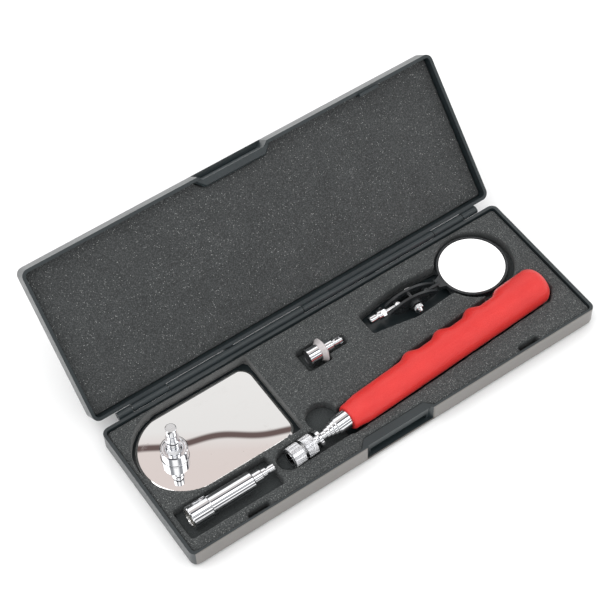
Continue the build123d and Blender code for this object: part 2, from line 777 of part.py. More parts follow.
# ================================================================ penlight
def make_penlight():
    """The penlight: twisting head with lens, reflector and diode, and tube with cells."""
    plane = turning_plane(PENLIGHT, (1, 0, 0))
    neck_radius = PEN_RADIUS - 0.3
    bore = neck_radius + 0.07
    tube_end = PEN_LENGTH
    head = turned(
        plane,
        [
            (0.0, HEAD_RADIUS - 0.8),
            (1.6, HEAD_RADIUS - 0.8),
            (1.6, bore),
            (HEAD_LENGTH, bore),
            (HEAD_LENGTH, HEAD_RADIUS - 0.3),
            (HEAD_LENGTH - 0.3, HEAD_RADIUS),
            (0.5, HEAD_RADIUS),
            (0.0, HEAD_RADIUS - 0.5),
        ],
    )
    finish(head, "penlight_head")
    lens = turned(plane, [(0.35, 0), (0.1, 2.5), (0.35, 5.25), (1.55, 5.25), (1.55, 0)])
    finish(lens, "penlight_lens")
    reflector = turned(
        plane, [(1.65, 4.6), (1.65, 4.9), (4.4, 4.9), (4.4, 1.3), (4.0, 1.3), (2.6, 3.6)]
    )
    finish(reflector, "penlight_reflector")
    diode = turned(plane, [(2.2, 0), (2.5, 0.9), (3.2, 1.2), (4.4, 1.2), (4.4, 0)])
    finish(diode, "penlight_diode")
    cell_start = 5.2
    with BuildPart() as tube:
        with BuildSketch(plane):
            with BuildLine():
                Polyline(
                    (4.8, 4.15),
                    (tube_end - 1.6, 4.15),
                    (tube_end - 1.6, 0),
                    (tube_end, 0),
                    (tube_end, PEN_RADIUS - 0.6),
                    (tube_end - 0.6, PEN_RADIUS),
                    (HEAD_LENGTH + 0.3, PEN_RADIUS),
                    (HEAD_LENGTH + 0.3, neck_radius),
                    (HEAD_LENGTH - 0.9, neck_radius),
                    (HEAD_LENGTH - 0.9, neck_radius - 0.5),
                    (HEAD_LENGTH - 2.1, neck_radius - 0.5),
                    (HEAD_LENGTH - 2.1, neck_radius),
                    (4.8, neck_radius),
                    close=True,
                )
            make_face()
        revolve(axis=Axis(plane.origin, plane.x_dir))
    finish(tube, "penlight_tube")
    seal_centre = plane.origin + plane.x_dir * (HEAD_LENGTH - 1.5)
    with BuildPart(Plane(origin=seal_centre, z_dir=plane.x_dir)) as seal:
        Torus(neck_radius - 0.22, 0.26)
    finish(seal, "penlight_seal")
    with BuildPart() as cells:
        for number in range(CELL_COUNT):
            start = cell_start + number * (CELL_THICKNESS + 0.05)
            with BuildSketch(Plane(origin=plane.origin + plane.x_dir * start, z_dir=plane.x_dir)):
                Circle(CELL_RADIUS)
            extrude(amount=CELL_THICKNESS)
    finish(cells, "penlight_cells")
    spring_start = cell_start + CELL_COUNT * (CELL_THICKNESS + 0.05) + 0.4
    spring = coil_spring(plane, spring_start, tube_end - 2.1 - spring_start, 3.0, 0.25, 5)
    finish(spring, "penlight_spring")
    plug = turned(
        plane,
        [(tube_end, 0), (tube_end, 3.5), (tube_end + 5.0, 3.5), (tube_end + 5.5, 3.0)]
        + plug_outline(tube_end + 5.5),
    )
    finish(plug, "penlight_plug")


# ================================================================ round mirror
def make_ball_plug():
    """The plug end whose rod ends in the clamp's first ball."""
    plane = turning_plane((26.0, CONNECTOR_BALL[1], BALL_CENTRE_Z), (1, 0, 0))
    ball = CONNECTOR_BALL[0] - 26.0
    shoulder = TIP_LENGTH + PLUG_GROOVE_LENGTH + SHANK_LENGTH
    mirrored = [(shoulder - s, r) for s, r in plug_outline(0)]
    with BuildPart() as plug:
        with BuildSketch(plane):
            with BuildLine():
                Polyline(
                    *mirrored[::-1],
                    (shoulder + 2.0, SHANK_RADIUS),
                    (shoulder + 2.0, 1.6),
                    (ball - 7.4, 1.6),
                    (ball - 7.0, NECK_RADIUS),
                    (ball, NECK_RADIUS),
                    (ball, 0),
                    close=True,
                )
            make_face()
        revolve(axis=Axis(plane.origin, plane.x_dir))
        with Locations(plane.origin + plane.x_dir * ball):
            Sphere(JOINT_BALL_RADIUS)
        with BuildSketch(Plane(origin=plane.origin + plane.x_dir * shoulder, z_dir=plane.x_dir)):
            RegularPolygon(3.5, 6)
        extrude(amount=2.0)
    finish(plug, "ball_plug")


def make_clamp():
    """Two leaf-shaped plates that grip both balls, their nut and their thumb screw."""
    with BuildPart() as rear:
        with BuildSketch(CLAMP_PLANE.offset(-PLATE_GAP)):
            clamp_outline()
        extrude(amount=-CLAMP_THICKNESS)
    finish(rear, "clamp_plate_rear")
    with BuildPart() as front:
        with BuildSketch(CLAMP_PLANE.offset(PLATE_GAP)):
            clamp_outline()
        extrude(amount=CLAMP_THICKNESS)
        with BuildSketch(CLAMP_PLANE.offset(PLATE_GAP + CLAMP_THICKNESS)):
            Circle(3.6)
            Circle(SCREW_RADIUS + 0.1, mode=Mode.SUBTRACT)
        extrude(amount=2.6)
    finish(front, "clamp_plate_front")
    with BuildPart() as nut:
        with BuildSketch(CLAMP_PLANE.offset(-PLATE_GAP - CLAMP_THICKNESS)):
            RegularPolygon(2.9, 6)
            Circle(SCREW_RADIUS + 0.05, mode=Mode.SUBTRACT)
        extrude(amount=-2.0)
    finish(nut, "clamp_nut")
    screw_plane = turning_plane(CLAMP_PLANE.origin, tuple(CLAMP_PLANE.z_dir))
    head = PLATE_GAP + CLAMP_THICKNESS + 2.8
    screw = turned(
        screw_plane,
        [
            (-6.0, 0),
            (-6.0, SCREW_RADIUS - 0.25),
            (-5.75, SCREW_RADIUS),
            (head, SCREW_RADIUS),
            (head, 2.2),
            (head + 0.3, 2.5),
            (head + 2.6, 2.5),
            (head + 2.9, 2.2),
            (head + 2.9, 1.7),
            (head + 4.1, 1.7),
            (head + 4.4, 1.4),
            (head + 4.4, 0),
        ],
    )
    finish(screw, "thumb_screw")


def clamp_outline():
    """A leaf with a seat hole over each ball and a screw hole in the middle."""
    half = LINK_LENGTH / 2
    with BuildLine() as leaf:
        ThreePointArc((-CLAMP_HALF_LENGTH, 0), (0, CLAMP_HALF_HEIGHT), (CLAMP_HALF_LENGTH, 0))
        ThreePointArc((-CLAMP_HALF_LENGTH, 0), (0, -CLAMP_HALF_HEIGHT), (CLAMP_HALF_LENGTH, 0))
    make_face(leaf.edges())
    with Locations((-half, 0), (half, 0)):
        Circle(1.5, mode=Mode.SUBTRACT)
    Circle(SCREW_RADIUS + 0.1, mode=Mode.SUBTRACT)


def make_round_mirror():
    """The round mirror: a bezel and ball arm moulded in one, and its glass."""
    arm_y = ARM_BALL[1]
    flare = ARM_BALL[0] + 7.6
    with BuildPart() as bezel:
        with BuildSketch(Plane.XY.offset(BEZEL_BOTTOM)):
            with Locations(ROUND_MIRROR):
                Circle(BEZEL_RADIUS)
        extrude(amount=BEZEL_TOP - BEZEL_BOTTOM)
        fillet(bezel.faces().sort_by(Axis.Z)[0].edges(), 1.6)
        fillet(bezel.faces().sort_by(Axis.Z)[-1].edges(), 0.6)
        with BuildSketch(Plane.XY.offset(7.0)):
            with BuildLine():
                start = (flare, arm_y + 2.6)
                low = (flare, arm_y - 2.6)
                far = (ROUND_MIRROR[0] - 11.0, ROUND_MIRROR[1] + 13.0)
                near = (ROUND_MIRROR[0] - 11.0, ROUND_MIRROR[1] - 13.0)
                Line(low, start)
                ThreePointArc(start, (flare + 5.5, arm_y + 5.0), far)
                Line(far, near)
                ThreePointArc(near, (flare + 5.5, arm_y - 5.0), low)
            make_face()
        extrude(amount=2.6)
        with BuildSketch(Plane.XY.offset(BEZEL_TOP - ROUND_GLASS_THICKNESS - 0.3)):
            with Locations(ROUND_MIRROR):
                Circle(ROUND_GLASS_RADIUS + 0.1)
        extrude(amount=5.0, mode=Mode.SUBTRACT)
        with Locations((*ARM_BALL, BALL_CENTRE_Z)):
            Sphere(JOINT_BALL_RADIUS)
        with BuildSketch(Plane.YZ.offset(ARM_BALL[0])):
            with Locations((arm_y, BALL_CENTRE_Z)):
                Circle(NECK_RADIUS)
        extrude(amount=9.0)
    finish(bezel, "mirror_bezel")
    with BuildPart() as glass:
        with BuildSketch(Plane.XY.offset(BEZEL_TOP - ROUND_GLASS_THICKNESS - 0.3)):
            with Locations(ROUND_MIRROR):
                Circle(ROUND_GLASS_RADIUS)
        extrude(amount=ROUND_GLASS_THICKNESS)
        chamfer(glass.faces().sort_by(Axis.Z)[-1].edges(), 0.4)
    finish(glass, "round_glass")


make_case_base()
make_case_lid()
make_hinge_pin()
make_foam_tray()
make_foam_bed()
make_lid_foam()
make_grip()
make_mast()
make_chuck()
make_plate_mirror()
make_large_magnet()
make_small_magnet()
make_penlight()
make_ball_plug()
make_clamp()
make_round_mirror()
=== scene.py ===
import json
import math

import bmesh
import bpy
from mathutils import Matrix, Vector, noise


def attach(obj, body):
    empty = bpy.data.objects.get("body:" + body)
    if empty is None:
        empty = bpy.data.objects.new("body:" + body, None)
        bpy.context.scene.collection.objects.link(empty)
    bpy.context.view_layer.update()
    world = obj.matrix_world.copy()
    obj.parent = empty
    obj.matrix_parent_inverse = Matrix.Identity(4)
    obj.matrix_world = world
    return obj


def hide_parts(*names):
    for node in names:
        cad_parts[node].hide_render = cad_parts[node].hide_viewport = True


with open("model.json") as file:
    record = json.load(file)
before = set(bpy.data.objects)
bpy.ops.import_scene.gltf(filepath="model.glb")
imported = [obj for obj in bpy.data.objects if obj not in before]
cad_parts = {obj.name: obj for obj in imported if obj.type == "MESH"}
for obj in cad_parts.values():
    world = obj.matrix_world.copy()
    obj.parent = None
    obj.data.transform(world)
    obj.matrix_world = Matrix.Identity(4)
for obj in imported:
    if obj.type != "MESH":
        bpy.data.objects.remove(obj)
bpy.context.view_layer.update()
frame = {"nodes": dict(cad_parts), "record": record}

# Looks for the telescoping inspection mirror kit. Metres, in the CAD's frame: +X along the
# case, +Y towards the hinge, +Z up, origin at the centre of the case's bottom face.

MM = 0.001

# ---------------------------------------------------------------- camera, floor and key light
CAMERA_TARGET = Vector((2.7, 49.0, 12.5)) * MM
CAMERA_DISTANCE = 941.7 * MM
CAMERA_TURN = math.radians(32.523)
CAMERA_DROP = math.radians(54.417)
CAMERA_ROLL = math.radians(-2.629)
CAMERA_LENS = 104.03
CAMERA_SENSOR = 36
FLOOR_HALF = 4.0
FLOOR_HEIGHT = -0.0002
KEY_PLACE = Vector((-0.5, 0.3, 1.4))
KEY_TARGET = Vector((0, 0.03, 0))
KEY_SIZE = 0.9
KEY_POWER = 3.0

# ---------------------------------------------------------------- studio
# The wavy gap between two screens. Its height and its wave are in degrees; the wave's phase
# turns GAP_WAVES radians for each radian of bearing. Its shade fades out from core to edge.
GAP_HEIGHT = 58.5
GAP_WAVES = 66.7
GAP_WAVE_START = 4.93
GAP_WAVE_HEIGHT = 0.07
GAP_CORE = 0.05
GAP_EDGE = 0.16
GAP_SHADE = (0.14, 0.10, 0.095)
# the gap shows where more than this share of a direction lies along the camera's bearing
GAP_LEAST_AHEAD = 0.2
SCREEN_STRENGTH = 1.0
DOME_COLOUR = (1.0, 1.0, 1.0, 1.0)
DOME_STRENGTH = 1.28
# shades from the far horizon (0) over the zenith (0.5) to the near horizon (1)
SCREEN_STOPS = (
    (0.0, (0.30, 0.30, 0.31)),
    (0.12, (0.36, 0.36, 0.37)),
    (0.16, (0.80, 0.80, 0.80)),
    (0.19, (1.35, 1.35, 1.35)),
    (0.303, (1.35, 1.35, 1.35)),
    (0.310, (0.84, 0.83, 0.82)),
    (0.3245, (0.80, 0.79, 0.78)),
    (0.3285, (0.72, 0.64, 0.615)),
    (0.36, (0.72, 0.65, 0.63)),
    (0.41, (0.70, 0.68, 0.68)),
    (0.435, (0.10, 0.10, 0.11)),
    (0.485, (0.06, 0.06, 0.07)),
    (0.50, (2.0, 2.0, 2.0)),
    (0.60, (2.0, 2.0, 2.0)),
    (0.615, (0.34, 0.35, 0.37)),
    (0.655, (0.34, 0.35, 0.37)),
    (0.67, (1.5, 1.5, 1.5)),
    (0.685, (0.05, 0.06, 0.07)),
    (0.715, (0.05, 0.06, 0.07)),
    (0.73, (1.5, 1.5, 1.5)),
    (0.80, (1.5, 1.5, 1.5)),
    (0.82, (0.08, 0.08, 0.09)),
    (0.90, (0.10, 0.10, 0.11)),
    (0.93, (0.9, 0.9, 0.9)),
    (1.0, (0.7, 0.7, 0.7)),
)

# ---------------------------------------------------------------- case and foam
# painted reflection: beyond this plane the base's front face is painted paler and warmer, standing
# in for the floor's glare on it
FRONT_FACE_Y = -43.4 * MM
FRONT_FACE_PAINTED_REFLECTION = (0.170, 0.160, 0.150)
# in millimetres: below the cut level the base foam is cut wall and pocket floor, which carries
# painted shade, above the face level it is face
FOAM_CUT_LEVEL = 9.9
FOAM_FACE_LEVEL = 10.6
# painted light: the light that the plate mirror throws on the cut walls round its pocket is painted
# into their colour as a paler grey: middle and reach each way along X and Y, in millimetres
PLATE_POCKET_CENTRE = (-82.0, 14.0)
PLATE_POCKET_REACH = (42.5, 28.0)
PLATE_POCKET_PAINTED_LIGHT = (0.115, 0.118, 0.116)
# the foam faces' unevenness: (waves per millimetre, height in millimetres), and how far
# the whole face is drawn in
FOAM_PORES = (0.9, 0.11)
FOAM_SWELLS = (0.12, 0.10)
FOAM_DRAWN_IN = 0.06

# ---------------------------------------------------------------- handle
HANDLE_FRONT = Vector((-20.1, -22.9, 12.0)) * MM
HANDLE_ANGLE = math.radians(4.28)
HANDLE_ALONG = Vector((math.cos(HANDLE_ANGLE), math.sin(HANDLE_ANGLE), 0))
# the grip's outline, in millimetres along and across the handle
GRIP_LENGTH = 135.6
GRIP_FRONT_RADIUS = 7.1
GRIP_SHOULDER = 12.0
GRIP_SHOULDER_RADIUS = 8.3
GRIP_REAR_RADIUS = 10.5
PALM_REAR_RADIUS = 10.9
GRIP_FLATNESS = 0.91
FIRST_CREST = 48.2
SWELL_PITCH = 21.3
SWELL_RUN = 6.9
SWELL_HIGH = 10.8
SWELL_LOWS = (8.3, 8.1, 7.7, 7.7)
TAIL_ROUNDING = 6.5
TAIL_TIP_RADIUS = 0.02
LIP_RUN = 1.2
LIP_ROUNDING = 0.7
# the hole that the tube sits in: its radius, and the stations of its mouth and its end
BORE_RADIUS = 5.25
BORE_MOUTH = 0.3
BORE_END = 105.2
# the mesh: millimetres between rings, points in a ring, degrees between the tail's rings
GRIP_STEP = 1.2
GRIP_POINTS = 96
TAIL_TURN = 6

# ---------------------------------------------------------------- clamp
CONNECTOR_BALL = Vector((44.5, 21.3, 9.0)) * MM
LINK_ANGLE = math.radians(-5.5)
LINK_ALONG = Vector((math.cos(LINK_ANGLE), math.sin(LINK_ANGLE), 0))
LINK_LENGTH = 17.75 * MM
CLAMP_CENTRE = CONNECTOR_BALL + LINK_ALONG * LINK_LENGTH / 2
CLAMP_ACROSS = Vector((math.sin(LINK_ANGLE), -math.cos(LINK_ANGLE), 0))

# ---------------------------------------------------------------- knurls
# mesh steps to a tooth, and how fast a tooth's flank rises to its flat top
TOOTH_STEPS = 8
TOOTH_FLANK = 1.9


# ================================================================ node trees
# the Mix node's sockets, which share their names between its kinds
MIX_FACTOR, MIX_FIRST, MIX_SECOND, MIX_RESULT = 0, 6, 7, 2


def set_stops(ramp, stops):
    """Set a colour ramp's stops; each is (position, grey or colour)."""
    elements = ramp.color_ramp.elements
    while len(elements) < len(stops):
        elements.new(0.5)
    for element, (position, value) in zip(elements, stops):
        colour = (value,) * 3 if isinstance(value, (int, float)) else value
        element.position = position
        element.color = (*colour, 1)


class Nodes:
    """A node tree that is being built. An input is a value or another node's socket."""

    def __init__(self, tree):
        self.tree = tree

    def add(self, kind, inputs=None, **settings):
        node = self.tree.nodes.new(kind)
        for key, value in settings.items():
            setattr(node, key, value)
        for key, value in (inputs or {}).items():
            if isinstance(value, bpy.types.NodeSocket):
                self.tree.links.new(value, node.inputs[key])
            else:
                node.inputs[key].default_value = value
        return node

    def maths(self, operation, *values):
        return self.add("ShaderNodeMath", dict(enumerate(values)), operation=operation).outputs[0]

    def ramp(self, source, *stops):
        node = self.add("ShaderNodeValToRGB", {"Fac": source})
        set_stops(node, stops)
        return node.outputs["Color"]

    def mix(self, factor, first, second, blend="MIX"):
        """Two colours, mixed; each is three numbers or a socket."""
        inputs = {MIX_FACTOR: factor}
        for key, value in ((MIX_FIRST, first), (MIX_SECOND, second)):
            inputs[key] = (*value, 1) if isinstance(value, (tuple, list)) else value
        node = self.add("ShaderNodeMix", inputs, data_type="RGBA", blend_type=blend)
        return node.outputs[MIX_RESULT]


class Surface(Nodes):
    """One procedural material: a Principled shader and the nodes that feed it.

    Sizes are in millimetres on the object, in the CAD's frame.
    """

    def __init__(self, name, **values):
        self.material = bpy.data.materials.new(name)
        self.material.use_nodes = True
        super().__init__(self.material.node_tree)
        self.shader = self.tree.nodes["Principled BSDF"]
        for key, value in values.items():
            self.shader.inputs[key.replace("_", " ")].default_value = value
        self.place = self.add("ShaderNodeTexCoord").outputs["Object"]

    def axes(self):
        """The three coordinates of the place, in metres."""
        return self.add("ShaderNodeSeparateXYZ", {"Vector": self.place}).outputs

    def stretched(self, stretch):
        """The place in millimetres, squeezed along each axis by this much."""
        scale = [1 / (MM * s) for s in stretch]
        return self.add("ShaderNodeMapping", {"Vector": self.place, "Scale": scale}).outputs[0]

    def noise(self, size, detail=3, roughness=0.55, stretch=(1, 1, 1)):
        inputs = {
            "Vector": self.stretched([size * s for s in stretch]),
            "Scale": 1.0,
            "Detail": detail,
            "Roughness": roughness,
        }
        return self.add("ShaderNodeTexNoise", inputs).outputs["Fac"]

    def cells(self, size, output="Distance"):
        inputs = {"Vector": self.stretched((size,) * 3), "Scale": 1.0}
        return self.add("ShaderNodeTexVoronoi", inputs).outputs[output]

    def cell_value(self, size):
        """A random number for each cell."""
        colour = self.cells(size, "Color")
        return self.add("ShaderNodeSeparateColor", {"Color": colour}).outputs[0]

    def colour(self, source):
        self.tree.links.new(source, self.shader.inputs["Base Color"])

    def roughness(self, source):
        self.tree.links.new(source, self.shader.inputs["Roughness"])

    def bump(self, height, depth, strength=1.0):
        """Raise the surface by this height field; depth is in millimetres."""
        inputs = {"Height": height, "Distance": depth * MM, "Strength": strength}
        node = self.add("ShaderNodeBump", inputs)
        normal = self.shader.inputs["Normal"]
        if normal.is_linked:
            self.tree.links.new(normal.links[0].from_socket, node.inputs["Normal"])
        self.tree.links.new(node.outputs[0], normal)


# ================================================================ finishes
def case_plastic():
    """Charcoal plastic with a fine moulded grain and faint handling marks, and a painted reflection
    of the floor on the base's front face.
    """
    s = Surface(
        "case_plastic", IOR=1.5, Specular_IOR_Level=0.5, Coat_Weight=0.22, Coat_Roughness=0.2
    )
    body = s.ramp(s.noise(22, 3), (0.3, (0.013, 0.020, 0.023)), (0.7, (0.018, 0.026, 0.029)))
    # painted reflection: the base's outer front face is painted paler and warmer in place of the
    # floor's glare
    front = s.maths("LESS_THAN", s.axes()[1], FRONT_FACE_Y)
    s.colour(s.mix(front, body, FRONT_FACE_PAINTED_REFLECTION))
    marks = s.noise(6, 5, 0.7, (6, 1, 1))
    s.roughness(s.ramp(marks, (0.35, 0.30), (0.7, 0.42)))
    s.bump(s.noise(0.45, 2), 0.035, 0.6)
    s.bump(s.noise(9, 2), 0.12, 0.25)
    return s


def foam(name, dark, light, fleck, fleck_share):
    """Open-celled foam, and its face's colour: cell walls, pale flecks and painted shade in its
    pores.
    """
    s = Surface(
        name, Roughness=0.95, Specular_IOR_Level=0.12, Sheen_Weight=0.12, Sheen_Roughness=0.6
    )
    grain = s.noise(0.42, 4, 0.75)
    body = s.mix(s.ramp(grain, (0.34, 0.0), (0.66, 1.0)), dark, light)
    # painted shade: the pores are painted darker, as shade falls in them
    painted_pit_shade = s.ramp(s.cells(0.75), (0.25, 0.0), (0.62, 0.6))
    body = s.mix(painted_pit_shade, body, [c * 0.4 for c in dark])
    flecks = s.ramp(s.cell_value(0.44), (1 - fleck_share, 0.0), (1 - fleck_share * 0.5, 1.0))
    centre = s.ramp(s.cells(0.44), (0.28, 1.0), (0.50, 0.0))
    body = s.mix(s.maths("MULTIPLY", flecks, centre), body, fleck)
    patches = s.ramp(s.noise(16, 3), (0.3, 0.90), (0.7, 1.08))
    body = s.mix(1.0, body, patches, "MULTIPLY")
    s.bump(s.cells(0.75), -0.25, 0.9)
    s.bump(s.noise(0.45, 3, 0.7), 0.2, 0.8)
    return s, body


def base_foam():
    """The base foam: its cut walls and pocket floors are plainer than its face and darker as
    painted shade; round the plate mirror's pocket they are paler as painted light.
    """
    s, body = foam(
        "base_foam", (0.036, 0.040, 0.041), (0.128, 0.134, 0.134), (0.30, 0.31, 0.30), 0.14
    )
    level = s.maths("DIVIDE", s.axes()[2], MM)
    limits = {"Value": level, "From Min": FOAM_CUT_LEVEL, "From Max": FOAM_FACE_LEVEL}
    is_face = s.add("ShaderNodeMapRange", limits).outputs[0]
    # painted shade: the cut walls and pocket floors get a plainer colour, which is also darker to
    # stand in for the shade in the pockets
    cut = s.ramp(s.noise(0.6, 3), (0.3, (0.040, 0.045, 0.046)), (0.7, (0.060, 0.066, 0.067)))
    # painted light: round the plate mirror's pocket the cut walls are painted paler, for the light
    # the mirror throws on them
    within = [
        s.maths("COMPARE", s.maths("DIVIDE", axis, MM), middle, reach)
        for axis, middle, reach in zip(s.axes(), PLATE_POCKET_CENTRE, PLATE_POCKET_REACH)
    ]
    cut = s.mix(s.maths("MULTIPLY", *within), cut, PLATE_POCKET_PAINTED_LIGHT)
    s.colour(s.mix(is_face, cut, body))
    return s


def lid_foam():
    """The lid's foam, plain all over."""
    s, body = foam(
        "lid_foam", (0.042, 0.045, 0.046), (0.104, 0.110, 0.111), (0.42, 0.43, 0.42), 0.05
    )
    s.colour(body)
    return s


def grip_red():
    """Soft red vinyl with a fine matte grain, whose raised tops are painted paler as painted
    glints.
    """
    s = Surface(
        "grip_red", IOR=1.5, Specular_IOR_Level=0.5, Sheen_Weight=0.08, Sheen_Roughness=0.35,
        Subsurface_Weight=0.05, Subsurface_Radius=(0.003, 0.0006, 0.0004), Subsurface_Scale=0.5,
    )
    grain = s.noise(0.5, 4, 0.7)
    body = s.ramp(s.noise(18, 3), (0.3, (0.62, 0.017, 0.016)), (0.7, (0.68, 0.024, 0.021)))
    # painted highlight: the grain's raised tops are painted a paler red as glints
    s.colour(s.mix(s.ramp(grain, (0.45, 0.0), (0.72, 0.22)), body, (0.80, 0.12, 0.09)))
    s.roughness(s.ramp(s.noise(3, 4), (0.3, 0.30), (0.7, 0.40)))
    s.bump(s.cells(0.55), 0.11, 0.8)
    s.bump(grain, 0.09, 0.8)
    return s


def bright_metal(name, colour, roughness, grain, depth):
    """Plated or turned metal: a clean face with faint smears and fine tool marks."""
    s = Surface(name, Metallic=1.0)
    s.colour(s.ramp(s.noise(5, 4, 0.6), (0.3, [c * 0.93 for c in colour]), (0.7, colour)))
    marks = s.noise(0.6, 3, 0.6, grain)
    s.roughness(s.ramp(marks, (0.3, roughness * 0.7), (0.75, roughness * 1.5)))
    s.bump(marks, depth, 0.35)
    return s


def satin_zinc():
    """Pale, matt die-cast metal."""
    s = Surface("satin_zinc", Metallic=0.35, Specular_IOR_Level=0.6)
    s.colour(s.ramp(s.noise(1.2, 4), (0.3, (0.60, 0.56, 0.56)), (0.7, (0.70, 0.66, 0.66))))
    s.roughness(s.ramp(s.noise(0.8, 3), (0.3, 0.38), (0.7, 0.5)))
    s.bump(s.noise(0.4, 3), 0.02, 0.5)
    return s


def magnet_iron():
    """A dark, coarse, nickel-plated magnet."""
    s = Surface("magnet_iron", Metallic=0.85)
    s.colour(s.ramp(s.noise(1.5, 5), (0.3, (0.10, 0.10, 0.105)), (0.7, (0.20, 0.20, 0.21))))
    s.roughness(s.ramp(s.noise(0.8, 4), (0.3, 0.35), (0.7, 0.55)))
    s.bump(s.noise(0.4, 4), 0.05)
    return s


def mirror():
    """Silvered glass with a few specks of dust and faint wiped smudges."""
    s = Surface("mirror", Metallic=1.0)
    dust = s.ramp(s.cell_value(2.4), (0.955, 0.0), (0.975, 1.0))
    dot = s.ramp(s.cells(2.4), (0.05, 1.0), (0.09, 0.0))
    speck = s.maths("MULTIPLY", dust, dot)
    wiped = s.noise(9, 4, 0.6, (1.6, 1, 1))
    smudge = s.ramp(wiped, (0.60, 0.0), (0.78, 0.22))
    clean = s.mix(smudge, (0.985, 0.98, 0.975), (0.86, 0.84, 0.83))
    s.colour(s.mix(speck, clean, (0.30, 0.27, 0.25)))
    s.roughness(s.ramp(wiped, (0.60, 0.004), (0.80, 0.05)))
    return s


def lens():
    """Clear moulded plastic."""
    s = Surface("lens", IOR=1.49, Transmission_Weight=0.9)
    s.colour(s.ramp(s.noise(4, 2), (0.3, (0.93, 0.90, 0.84)), (0.7, (0.97, 0.95, 0.90))))
    s.roughness(s.ramp(s.noise(1.0, 3), (0.3, 0.03), (0.7, 0.08)))
    return s


def diode():
    """Clear epoxy over a pale yellow die."""
    s = Surface("diode", IOR=1.5, Coat_Weight=0.6)
    s.colour(s.ramp(s.noise(1.0, 3), (0.3, (0.90, 0.82, 0.52)), (0.7, (0.96, 0.90, 0.66))))
    s.roughness(s.ramp(s.noise(0.5, 2), (0.3, 0.15), (0.7, 0.25)))
    return s


def black_plastic():
    """Black moulded plastic, satin, with faint rub marks."""
    s = Surface("black_plastic", IOR=1.5)
    s.colour(s.ramp(s.noise(7, 4), (0.3, (0.012, 0.014, 0.016)), (0.7, (0.022, 0.025, 0.027))))
    s.roughness(s.ramp(s.noise(2.5, 5, 0.7, (4, 1, 1)), (0.3, 0.22), (0.75, 0.36)))
    s.bump(s.noise(0.5, 3), 0.03, 0.5)
    return s


def seal_rubber():
    """Black rubber."""
    s = Surface("seal_rubber", Specular_IOR_Level=0.3)
    s.colour(s.ramp(s.noise(1.0, 4), (0.3, (0.015, 0.015, 0.015)), (0.7, (0.03, 0.03, 0.03))))
    s.roughness(s.ramp(s.noise(0.6, 3), (0.3, 0.6), (0.7, 0.75)))
    s.bump(s.noise(0.3, 3), 0.03)
    return s


# slot: colour, roughness, stretch of the tool marks, depth of the marks in millimetres
METALS = {
    "chrome": ((0.86, 0.865, 0.88), 0.06, (6, 1, 1), 0.002),
    "steel": ((0.62, 0.62, 0.63), 0.28, (1, 8, 8), 0.004),
    "backing_steel": ((0.52, 0.52, 0.53), 0.34, (8, 1, 1), 0.004),
    "cell_steel": ((0.72, 0.72, 0.73), 0.22, (1, 6, 6), 0.004),
    "brass": ((0.78, 0.58, 0.27), 0.25, (1, 6, 6), 0.004),
    "reflector": ((0.93, 0.90, 0.84), 0.07, (1, 1, 1), 0.004),
}
MAKERS = {
    "case_plastic": case_plastic,
    "foam": base_foam,
    "grip_red": grip_red,
    "mirror": mirror,
    "magnet_iron": magnet_iron,
    "satin_zinc": satin_zinc,
    "seal_rubber": seal_rubber,
    "lens": lens,
    "diode": diode,
    "black_plastic": black_plastic,
}
FINISHES = {slot: maker().material for slot, maker in MAKERS.items()}
FINISHES |= {slot: bright_metal(slot, *look).material for slot, look in METALS.items()}
LID_FOAM_FINISH = lid_foam().material


def paint(piece, material):
    """Give a piece one material in place of any that it has."""
    piece.data.materials.clear()
    piece.data.materials.append(material)


def paint_frame():
    """Each CAD node takes the finish of its slot in the record."""
    for entry in frame["record"]["subparts"]:
        node = frame["nodes"][entry["node"]]
        if not node.material_slots:
            node.data.materials.append(None)
        for place in node.material_slots:
            place.link = "OBJECT"
            place.material = FINISHES[entry["material_slot"]]


# ================================================================ camera, floor and light
def add_object(name, data):
    """A new object in the scene."""
    thing = bpy.data.objects.new(name, data)
    bpy.context.collection.objects.link(thing)
    return thing


def make_camera():
    """The camera looks down on the open case from its front left, rolled a little."""
    forward = Vector(
        (
            math.sin(CAMERA_TURN) * math.cos(CAMERA_DROP),
            math.cos(CAMERA_TURN) * math.cos(CAMERA_DROP),
            -math.sin(CAMERA_DROP),
        )
    )
    level = Vector((math.cos(CAMERA_TURN), -math.sin(CAMERA_TURN), 0))
    upright = level.cross(forward)
    right = level * math.cos(CAMERA_ROLL) + upright * math.sin(CAMERA_ROLL)
    up = upright * math.cos(CAMERA_ROLL) - level * math.sin(CAMERA_ROLL)
    turn = Matrix((right, up, -forward)).transposed().to_4x4()
    data = bpy.data.cameras.new("camera")
    data.lens = CAMERA_LENS
    data.sensor_width = CAMERA_SENSOR
    data.clip_start = 0.01
    data.clip_end = 50
    camera = add_object("camera", data)
    camera.matrix_world = Matrix.Translation(CAMERA_TARGET - forward * CAMERA_DISTANCE) @ turn
    bpy.context.scene.camera = camera


def make_floor():
    """A plain pale floor, which isn't part of the object."""
    mesh = bpy.data.meshes.new("floor")
    corners = [(x * FLOOR_HALF, y * FLOOR_HALF, 0) for x, y in ((-1, -1), (1, -1), (1, 1), (-1, 1))]
    mesh.from_pydata(corners, [], [(0, 1, 2, 3)])
    floor = add_object("floor", mesh)
    floor.location.z = FLOOR_HEIGHT
    paper = Surface("floor_paper", Roughness=0.9, Specular_IOR_Level=0.1)
    paper.colour(paper.ramp(paper.noise(400, 2), (0.35, 0.93), (0.65, 0.95)))
    paint(floor, paper.material)


